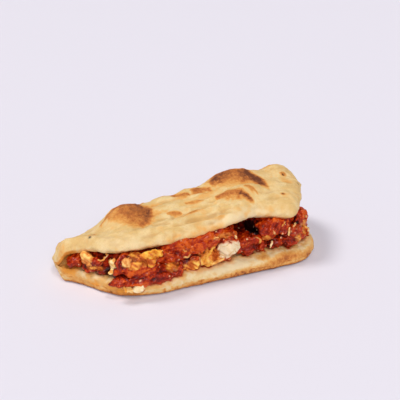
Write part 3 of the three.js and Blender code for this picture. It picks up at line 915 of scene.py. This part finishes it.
def filling_masks(points, cheese_base, sauced=0.0):
    """Shares of bare meat, melted cheese and pale bits, which are partly painted glints on the sauce.
    sauced is how much sauce lies on the cheese.
    """
    wobble = 0.45 * rough(points, 4.5, 21, 3)
    meat = strongest(points, BARE_MEAT, 0.16, 0.45 * wobble)
    cheese = cheese_base * (1 - sauced * smooth(0.0, 0.5, rough(points, 8, 43, 2)))
    cheese = np.maximum(cheese, strongest(points, MELTED, 0.3, wobble))
    nearest, _, number = grains(points, (3.1, 2.6, 2.2), 22)
    bits = (number > 0.93) * smooth(0.42, 0.3, nearest + 0.25 * wobble) * smooth(-0.2, 0.1, wobble)
    return {"meat": meat, "cheese": cheese * (1 - meat), "bits": bits * (1 - cheese)}


def leaning(points, degrees):
    """Points along, beside and square to a direction that rises by so many degrees from +X."""
    along, upright = turned(points[:, 0], points[:, 2], degrees)
    return np.stack([along, points[:, 1], upright], axis=1)


def sauced_relief(points, warped, lumps, turn):
    """Pulp and threads of meat in sauce: relief in millimetres, and painted shade, darker deep in a
    crevice and lighter on the high pulp, lumps and threads.
    """
    nearest, _, number = grains(points, 2.0, 31)
    pulp = (number > 0.35) * np.sqrt(np.maximum(0, 1 - (nearest / 0.6) ** 2))
    threads = 1 - 2.2 * np.abs(bumps(leaning(warped, turn), (14, 3.4, 3.4), 35))
    painted_shade = 0.66 - 0.22 * pulp * (number > 0.6) - 0.34 * smooth(-1.6, 1.4, lumps) - 0.24 * threads
    return lumps + 0.45 * pulp + 0.75 * threads, painted_shade


def torn_relief(warped, slant, lumps):
    """The same for bare meat, with the cracks between its flakes and its fibres."""
    _, crack, number = grains(warped, (15, 15, 11), 37)
    fibres = bumps(slant, (7, 3, 1.5), 34)
    flakes = 0.8 * (number - 0.5) * smooth(0, 0.3, crack) - 0.5 * smooth(0.05, 0, crack)
    # Painted shade in the cracks between the flakes and in the low places between the fibres.
    painted_shade = 0.5 * smooth(0.04, 0.01, crack) + 0.3 * smooth(0.1, -0.6, fibres)
    return 0.2 * lumps + 0.8 + flakes + 0.16 * fibres, painted_shade


def drawn_relief(points, slant, lumps):
    """The same for melted cheese, which is drawn out in soft ridges."""
    drawn = 0.8 * rough(slant, (11, 5, 3.2), 36, 2) + 0.2 * bumps(points, 2.2, 40)
    # Painted shade in the low places between the cheese's ridges.
    return 0.5 * lumps + 0.5 + drawn, 1 - smooth(-0.6, 0.8, drawn)


def filling_relief(points, masks, turn):
    """Relief of the filling in millimetres, and its painted shade, darker the deeper a point lies in a
    crevice. turn is the lie of the meat's threads, in degrees above +X."""
    lumps = 1.8 * rough(points, 11, 32, 2) + 0.9 * rough(points, 4.6, 33, 2)
    warped = points + 0.9 * rough(points, 6, 41, 2)[:, None]
    slant = leaning(points, SLANT)
    kinds = [
        (1 - np.maximum(masks["meat"], masks["cheese"]), sauced_relief(points, warped, lumps, turn)),
        (masks["meat"], torn_relief(warped, slant, lumps)),
        (masks["cheese"], drawn_relief(points, slant, lumps)),
    ]
    relief = sum(share * own for share, (own, _) in kinds)
    painted_shade = sum(share * own for share, (_, own) in kinds)
    return relief, painted_shade


# How pale the melted cheese of a piece is, and that on the rest of the filling, from yellow to white.
CHEESE_PALENESS = {
    "cheese_left": 0.3, "cheese_shred": 1.0, "cheese_lump": 0.5, "cheese_melt": 0.08, "cheese_drip": 0.4,
    "cheese_blob": 1.0,
}


PALENESS_ELSEWHERE = 0.14
# How much sauce lies on the cheese of a piece.
SAUCED_CHEESE = {"cheese_melt": 0.8}
# Pieces of cheese that are smoother than the rest, as a share of the relief.
EVENNESS = {"cheese_blob": 0.35, "cheese_shred": 0.6, "cheese_drip": 0.5, "cheese_lump": 0.6}


# Places where the filling is pulled in: place, half-sizes, turn and depth in millimetres.
DENTS = [((113, -39, 48), (9, 10, 6), 0, 3.4), ((-81, -58, 18), (6, 7, 7), 0, 2.2)]


# Lie of the meat's threads in a piece, in degrees above +X, and of its torn fibres and the drawn cheese.
THREADS = {
    "chicken_left": 35, "chicken_front": 12, "chicken_low": 4, "chicken_strip": 10, "chicken_middle": -20,
    "chicken_right": 60, "chicken_base": -30, "chicken_corner": 75, "chicken_end": 50, "chicken_rear": 70,
}
SLANT = -36.87


def in_hollow_shadow(points):
    return spot_mask(points, *HOLLOW_SHADOW, 0, 0.35, 0.35 * rough(points, 6, 42, 2))


# The grid that shows how the pieces crowd: its cells in millimetres, and how many are left free round it.
CROWD_CELL = 1.5
CROWD_MARGIN = 6


def crowding(pieces):
    """How closely the other pieces crowd round each point of each piece (name: points)."""
    everything = np.concatenate(list(pieces.values()))
    low = everything.min(axis=0) - CROWD_MARGIN * CROWD_CELL
    size = np.ceil((everything.max(axis=0) - low) / CROWD_CELL).astype(int) + CROWD_MARGIN
    cells = {name: tuple(((points - low) / CROWD_CELL).astype(int).T) for name, points in pieces.items()}
    own = {}
    for name, at in cells.items():
        grid = np.zeros(size, np.float32)
        grid[at] = 1
        for axis in (0, 1, 2, 0, 1, 2):
            grid = (np.roll(grid, 1, axis) + 2 * grid + np.roll(grid, -1, axis)) / 4
        own[name] = grid
    total = np.sum(list(own.values()), axis=0)
    return {name: (total - own[name])[at] for name, at in cells.items()}


LOWEST_FILLING = 0.3  # keeps the filling off the floor


def filling_piece(node, slot, material, mesh, crowded):
    points, faces = mesh
    masks = filling_masks(points, 1.0 if slot == "cheese" else 0.0, SAUCED_CHEESE.get(node, 0))
    masks["pale"] = np.full(len(points), CHEESE_PALENESS.get(node, PALENESS_ELSEWHERE))
    relief, painted_shade = filling_relief(points, masks, THREADS.get(node, 0))
    # Painted shade between pieces, where other pieces crowd close round a point.
    painted_crevice_shade = smooth(0.03, 0.3, crowded) * (1 - 0.7 * masks["cheese"]) * (1 - 0.7 * masks["meat"])
    # Painted light and painted shade from the table of spots.
    painted_shade = np.clip(painted_shade + spots(points, PAINTED_LIGHT_AND_SHADE, 0.6, 0.0) + 0.32 * painted_crevice_shade, 0, 0.88)
    # Painted shadow: the hollow under the lip is painted darkest.
    masks["painted_shade"] = np.maximum(painted_shade, 1.6 * in_hollow_shadow(points))
    relief = EVENNESS.get(node, 1) * relief - spots(points, DENTS, 0.8, 0.0)
    points = points + normals_of(points, faces) * relief[:, None]
    points[:, 2] = np.maximum(points[:, 2], LOWEST_FILLING)
    piece = mesh_piece(node + "_look", points, faces, masks)
    piece.data.materials.append(material)
    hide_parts(node)
    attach(piece, "root")
    return piece


# Shreds of meat and strings of cheese that lie on the filling: places along each, radius and paleness.
SHREDS = [
    ([(-39, -55, 29), (-32, -56, 25), (-25, -58, 20)], 1.8, 0.15),
    ([(-36, -55, 31), (-28, -56, 27), (-21, -56, 22)], 1.3, 0.3),
    ([(-38, -55, 26), (-33, -57, 22), (-29, -59, 18)], 1.2, 0.25),
    ([(-8, -54, 33), (-14, -56, 28), (-20, -56, 22)], 2.0, 0.2),
    ([(-12, -55, 33), (-17, -56, 28), (-23, -56, 21)], 1.6, 0.5),
    ([(-6, -54, 29), (-11, -57, 24), (-17, -58, 18)], 1.5, 0.1),
    ([(10, -51, 31), (5, -54, 26), (-2, -56, 20)], 2.2, 0.15),
    ([(13, -53, 28), (8, -55, 24), (2, -56, 18)], 1.8, 0.3),
    ([(16, -57, 22), (10, -56, 19), (3, -55, 17)], 1.5, 0.3),
    ([(7, -51, 32), (1, -54, 28), (-4, -56, 23)], 1.3, 0.1),
    ([(15, -49, 43), (24, -48, 42), (31, -45, 38)], 0.8, 0.1),
    ([(29, -51, 41), (30, -53, 38)], 1.3, 0.7),
    ([(41, -45, 36), (45, -48, 34), (49, -49, 32)], 1.1, 0.9),
    ([(60, -50, 31), (64, -48.5, 29), (68.5, -47, 26)], 2.4, 0.4),
    ([(62, -49, 28), (66, -48, 26), (69, -47, 24)], 1.4, 0.7),
    ([(71, -48, 25), (70, -48.5, 21.5), (69.5, -48.5, 18)], 1.2, 0.9),
    ([(80.7, -48.7, 35), (81, -49, 31), (80.8, -49.5, 26)], 1.3, 0.9),
    ([(90, -48, 36), (89, -49, 32), (88, -50, 28)], 1.3, 0.5),
    ([(99, -44, 38), (96, -47, 37), (94, -48, 36)], 1.2, 0.6),
    ([(98, -51, 30), (98, -51, 26), (97, -51, 21)], 1.7, 0.4),
    ([(108, -43, 34), (110, -45, 30), (112, -46, 26)], 1.5, 0.4),
    ([(115, -43, 29), (113, -46, 26), (111, -48, 23)], 1.2, 0.8),
    ([(103, -49, 26), (105, -48, 22), (106, -47, 18)], 1.1, 0.3),
    ([(88, -49, 24), (92, -50, 21), (95, -50, 19)], 1.0, 0.2),
    ([(-105, -22, 33), (-104, -25, 28), (-98, -31, 23), (-92, -35.5, 21)], 1.3, 0.5),
    ([(-82.5, -57.5, 19), (-82.5, -61, 13), (-82, -62, 8)], 1.1, 0.1),
    ([(-79.5, -58, 18), (-79.5, -61.5, 12.5), (-79, -62.5, 7)], 1.2, 0.3),
    ([(-76.5, -59, 18), (-76.5, -62, 12), (-76.5, -63, 8)], 1.0, 0.2),
]
LISTED_CHEESE = 0.9  # share of cheese in the colour of those in the list
# Short shreds at random places: how many, where along X and Z, and their lengths and radii.
SCATTERED_SHREDS = 240
SCATTERED_X = (118, -100)  # most of them near the first
SCATTERED_Z = (17, 48)
SHRED_LENGTHS = (4, 12)
SHRED_RADII = (0.5, 1.25)
# The right part of the filling, where shreds lie steeper and more of them are bare.
RIGHT_PART = 50
# The open end: its X, the stretch along Y that the shreds lie on, and the share of them that lies there.
END_X = 128
END_Y = (-24, 38)
SHARE_ON_END = 0.16


def scattered_shreds(seed=5):
    """Short shreds along the front of the filling and on its open end. Most are coated in sauce, and more
    are bare at the right."""
    rng = np.random.default_rng(seed)
    found = []
    for _ in range(SCATTERED_SHREDS):
        along = blend(*SCATTERED_X, rng.random() ** 1.4)
        z = rng.uniform(*SCATTERED_Z)
        on_end = rng.random() < SHARE_ON_END
        angle = math.radians(rng.normal(55 if along > RIGHT_PART else 20, 40))
        length = rng.uniform(*SHRED_LENGTHS)
        level = math.cos(angle) * length / 2
        upward = math.sin(angle) * length / 2
        if on_end:
            start = np.array([END_X, rng.uniform(*END_Y), z])
            step = np.array([0, level, upward])
        else:
            start = np.array([along, front_edge(along) + 8, z])
            step = np.array([level, 0, upward])
        bend = rng.normal(size=3) * 0.12 * length
        path = [start - step, start + bend, start + step]
        bare = rng.random() < (0.28 if along > RIGHT_PART else 0.08)
        coat = rng.uniform(0.5, 0.95) if bare else rng.uniform(0, 0.12)
        found.append((path, rng.uniform(*SHRED_RADII), rng.uniform(0.1, 0.7), coat))
    return found


def settled(path, surface, rise):
    """A path's points moved onto the nearest surface and lifted off it."""
    moved = []
    for point in path:
        location, normal, _, _ = surface.find_nearest(point)
        moved.append(location + normal * rise)
    return np.array(moved)


def tube(path, radius, sides=8):
    """Points and quads of a bumpy string along a path, thinner toward its two ends."""
    along = np.gradient(path, axis=0)
    along /= np.linalg.norm(along, axis=1, keepdims=True)
    share = np.linspace(0, 1, len(path))
    thick = radius * (0.25 + 0.75 * np.sqrt(np.sin(np.pi * np.clip(share, 0.02, 0.98))))
    side = np.cross(along, (0.2, 1, 0.1))
    side /= np.linalg.norm(side, axis=1, keepdims=True)
    other = np.cross(along, side)
    turn = np.linspace(0, 2 * np.pi, sides, endpoint=False)
    ring = side[:, None] * np.cos(turn)[:, None] + other[:, None] * np.sin(turn)[:, None]
    points = (path[:, None] + ring * thick[:, None, None]).reshape(-1, 3)
    caps = [np.arange(sides)[::-1], np.arange(len(points) - sides, len(points))]
    quads = [cap[[0, i, i + 1, i + 2]] for cap in caps for i in range(1, sides - 2, 2)]
    return points, np.concatenate([skin_faces(len(path), sides), quads])


def resampled(path, spacing=0.7):
    """A smooth curve through a few points, at an even spacing."""
    controls = np.array(path, float)[None]
    steps = [12] * (len(path) - 1)
    curve, _ = through(controls, steps)
    curve = curve[0]
    run = np.concatenate([[0], np.cumsum(np.linalg.norm(np.diff(curve, axis=0), axis=1))])
    places = np.linspace(0, run[-1], max(6, int(run[-1] / spacing)))
    return np.stack([np.interp(places, run, curve[:, i]) for i in range(3)], axis=1)


BESIDE = 2  # so many millimetres beside a piece of cheese count as on it
LONGEST_STEP = 2.0  # a settled shred with a longer step between its points bridges a gap
MOSTLY_SAUCE = 0.3  # with less cheese than this in its colour, a shred is coated in sauce


def on_cheese(path):
    """How much of a path lies on melted cheese or bare meat."""
    masks = filling_masks(path, 0)
    share = np.maximum(masks["cheese"], masks["meat"])
    for node in CHEESE_PALENESS:
        low, high = (np.array(corner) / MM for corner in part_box(node))
        share = np.maximum(share, np.all((path > low - BESIDE) & (path < high + BESIDE), axis=1))
    return share.mean()


def misplaced(curve, cheese):
    """Whether a shred bridges a gap or lies in the hollow, or has a coat of sauce but lies on cheese."""
    longest = np.linalg.norm(np.diff(curve, axis=0), axis=1).max()
    covers = cheese < MOSTLY_SAUCE and on_cheese(curve) > 0.25
    return longest > LONGEST_STEP or in_hollow_shadow(curve).max() > 0.2 or covers


def joined(meshes):
    """The points and quads of several meshes (points, quads) as one."""
    starts = np.cumsum([0] + [len(points) for points, _ in meshes])
    faces = [faces + start for (_, faces), start in zip(meshes, starts)]
    return np.concatenate([points for points, _ in meshes]), np.concatenate(faces)


def shreds_piece(surface, material):
    """All strings and shreds in one piece."""
    tubes = []
    colours = []
    listed = [(*shred, LISTED_CHEESE) for shred in SHREDS]
    for path, radius, pale, cheese in listed + scattered_shreds():
        curve = settled(resampled(path), surface, 0.3 * radius)
        if misplaced(curve, cheese):
            continue
        curve[1:-1] = (curve[:-2] + 2 * curve[1:-1] + curve[2:]) / 4
        points, faces = tube(curve, radius)
        points += 0.5 * radius * np.stack([bumps(points, 2.4, 51 + i) for i in range(3)], axis=1)
        tubes.append((points, faces))
        colours.extend([(pale, cheese)] * len(points))
    points, faces = joined(tubes)
    pale, cheese = np.transpose(colours)
    none = np.zeros(len(points))
    # A random tone for the shreds, given on the scale of the painted shade.
    painted_shade = 0.3 + 0.4 * bumps(points, 2.5, 52)
    masks = {"meat": none, "cheese": cheese, "bits": none, "painted_shade": painted_shade, "pale": pale}
    piece = mesh_piece("shreds", points, faces, masks)
    piece.data.materials.append(material)
    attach(piece, "root")
    return piece


def surface_of(pieces):
    """One search tree over the quads of some pieces, in millimetres."""
    points, faces = joined([(points_of(piece.data), np.array(faces_of(piece.data))) for piece in pieces])
    return BVHTree.FromPolygons(points.tolist(), faces.tolist())


def finder(pieces, every=4):
    """Finds the nearest point of some pieces, in millimetres."""
    points = np.concatenate([points_of(piece.data)[::every] for piece in pieces])
    tree = KDTree(len(points))
    for i, point in enumerate(points):
        tree.insert(point, i)
    tree.balance()
    return tree


# Colours of the filling by painted shade, from the lit highest points to the darkest shade in crevices and
# the hollow.
SAUCE_COLOURS = [
    (0.0, (214, 92, 22)), (0.25, (178, 50, 8)), (0.5, (136, 26, 3)), (0.75, (84, 12, 2)),
    (1.0, (28, 3, 2)),
]
# The meat and the cheese also darken with painted shade, in their cracks and between their ridges.
MEAT_COLOURS = [(0.0, (236, 214, 176)), (0.45, (226, 190, 136)), (1.0, (176, 96, 40))]
YELLOW_CHEESE = [(0.0, (250, 200, 70)), (0.35, (242, 160, 28)), (0.7, (214, 100, 10)), (1.0, (150, 46, 6))]
WHITE_CHEESE = [(0.0, (254, 236, 192)), (0.6, (246, 204, 124)), (1.0, (216, 130, 44))]


def filling_material(name, specular, coat):
    m = Material(name)
    grain = m.noise(1.3, 4, 0.65)
    cloud = m.noise(8, 3)
    # Painted shade, broken up by a fine grain and a broad cloud of random tone.
    painted_shade = m.math("MULTIPLY_ADD", m.math("SUBTRACT", grain, 0.5), 0.7, m.mask("painted_shade"))
    painted_shade = m.math("MULTIPLY_ADD", m.math("SUBTRACT", cloud, 0.5), 0.6, painted_shade)
    cheese = m.mix(m.mask("pale"), m.ramp(painted_shade, YELLOW_CHEESE), m.ramp(painted_shade, WHITE_CHEESE))
    # Pale bits of pulp, partly painted glints on the sauce.
    colour = m.paint(m.ramp(painted_shade, SAUCE_COLOURS), bits=(246, 198, 150))
    colour = m.mix(m.mask("meat"), colour, m.ramp(painted_shade, MEAT_COLOURS))
    colour = m.mix(m.mask("cheese"), colour, cheese)
    # Cheese and bare meat shine less than sauce, and so does what lies deep.
    bare = m.math("MAXIMUM", m.mask("meat"), m.mask("cheese"))
    dull = m.math("MULTIPLY_ADD", m.step(m.mask("painted_shade"), 0.7, 1.0), 0.6, 0.15)
    m.set(m.shader, Base_Color=colour, Roughness=m.math("MULTIPLY_ADD", bare, 0.16, dull))
    m.set(m.shader, Subsurface_Weight=0.05, Subsurface_Radius=(1.0, 0.25, 0.1), Subsurface_Scale=0.001)
    m.set(m.shader, Coat_Weight=coat, Coat_Roughness=0.06)
    m.set(m.shader, Specular_IOR_Level=specular)
    m.bump(m.noise(1.7, 3, 0.5), 0.7, 0.6)
    return m.material


# ---------- stage, lights and camera ----------
FLOOR_HALF = 6000
FLOOR_COLOUR = (228, 225, 234)


def floor_piece():
    square = [(-1, -1, 0), (1, -1, 0), (1, 1, 0), (-1, 1, 0)]
    floor = mesh_piece("floor", FLOOR_HALF * np.array(square, float), [(0, 1, 2, 3)])
    m = Material("pale_floor")
    m.set(m.shader, Base_Color=srgb(*FLOOR_COLOUR), Roughness=0.7)
    m.set(m.shader, Specular_IOR_Level=0.2)
    floor.data.materials.append(m.material)


def sun(name, direction, strength, angle, colour):
    light = bpy.data.lights.new(name, "SUN")
    light.energy = strength
    light.angle = math.radians(angle)
    light.color = colour
    lamp = bpy.data.objects.new(name, light)
    lamp.rotation_euler = Vector(direction).to_track_quat("Z", "Y").to_euler()
    bpy.context.scene.collection.objects.link(lamp)


# Suns: name, direction toward it, strength, angle in degrees and colour.
SUNS = [
    ("key", (-0.6, 0.35, 1.0), 1.45, 18, (1.0, 0.985, 0.96)),
    ("fill", (-0.15, -0.9, 0.7), 1.35, 28, (1.0, 0.99, 0.98)),
    ("sparkle", (0.1, -0.5, 1.0), 0.6, 6, (1.0, 1.0, 1.0)),
]
# The world is brightest at the horizon, and evenly darker above the height that its fall ends at.
WORLD_COLOUR = (0.95, 0.915, 1.0, 1.0)
WORLD_AT_HORIZON = 0.88
WORLD_ABOVE = 0.27
WORLD_FALL_END = 0.4


def lights():
    for row in SUNS:
        sun(*row)
    world = bpy.data.worlds.new("studio")
    sky = Nodes(world, "Generated")
    height = sky.add("ShaderNodeSeparateXYZ", Vector=sky.place).outputs["Z"]
    fall = sky.add("ShaderNodeMapRange", Value=height, From_Min=0.0, From_Max=WORLD_FALL_END)
    sky.set(fall, To_Min=WORLD_AT_HORIZON, To_Max=WORLD_ABOVE)
    sky.set(sky.tree.nodes["Background"], Color=WORLD_COLOUR, Strength=fall.outputs["Result"])
    bpy.context.scene.world = world


# The photograph's camera: place in millimetres, level heading, and degrees that it looks down.
CAMERA_PLACE = (-213.2, -545.4, 328.0)
CAMERA_HEADING = (0.386, 0.923)
CAMERA_DOWN = 24.5
LENS = 59.2
SENSOR = 36.0
CLIP_START = 0.01  # in metres, as the next one
CLIP_END = 50.0


def camera():
    data = bpy.data.cameras.new("camera")
    data.lens = LENS
    data.sensor_width = SENSOR
    data.clip_start = CLIP_START
    data.clip_end = CLIP_END
    eye = bpy.data.objects.new("camera", data)
    down = math.radians(CAMERA_DOWN)
    level = Vector((*CAMERA_HEADING, 0)).normalized()
    look = level * math.cos(down) - Vector((0, 0, math.sin(down)))
    eye.location = Vector(CAMERA_PLACE) * MM
    eye.rotation_euler = look.to_track_quat("-Z", "Y").to_euler()
    bpy.context.scene.collection.objects.link(eye)
    bpy.context.scene.camera = eye


# ---------- the sandwich ----------
camera()
lights()
floor_piece()
bpy.context.scene.view_settings.view_transform = "Standard"

sauced = filling_material("sauced_filling", 0.16, 0.1)
shaded = filling_material("filling_within", 0.04, 0.0)
meshes = {node: remeshed(node) for node in sorted(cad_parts) if node != "dough"}
crowded = crowding({node: points for node, (points, faces) in meshes.items()})
pieces = []
for node, mesh in meshes.items():
    slot = node.split("_")[0]
    material = shaded if slot == "filling" else sauced
    pieces.append(filling_piece(node, slot, material, mesh, crowded[node]))
shreds_piece(surface_of(pieces), sauced)

crust = dough_piece(finder(pieces))
crust.data.materials.append(dough_material())
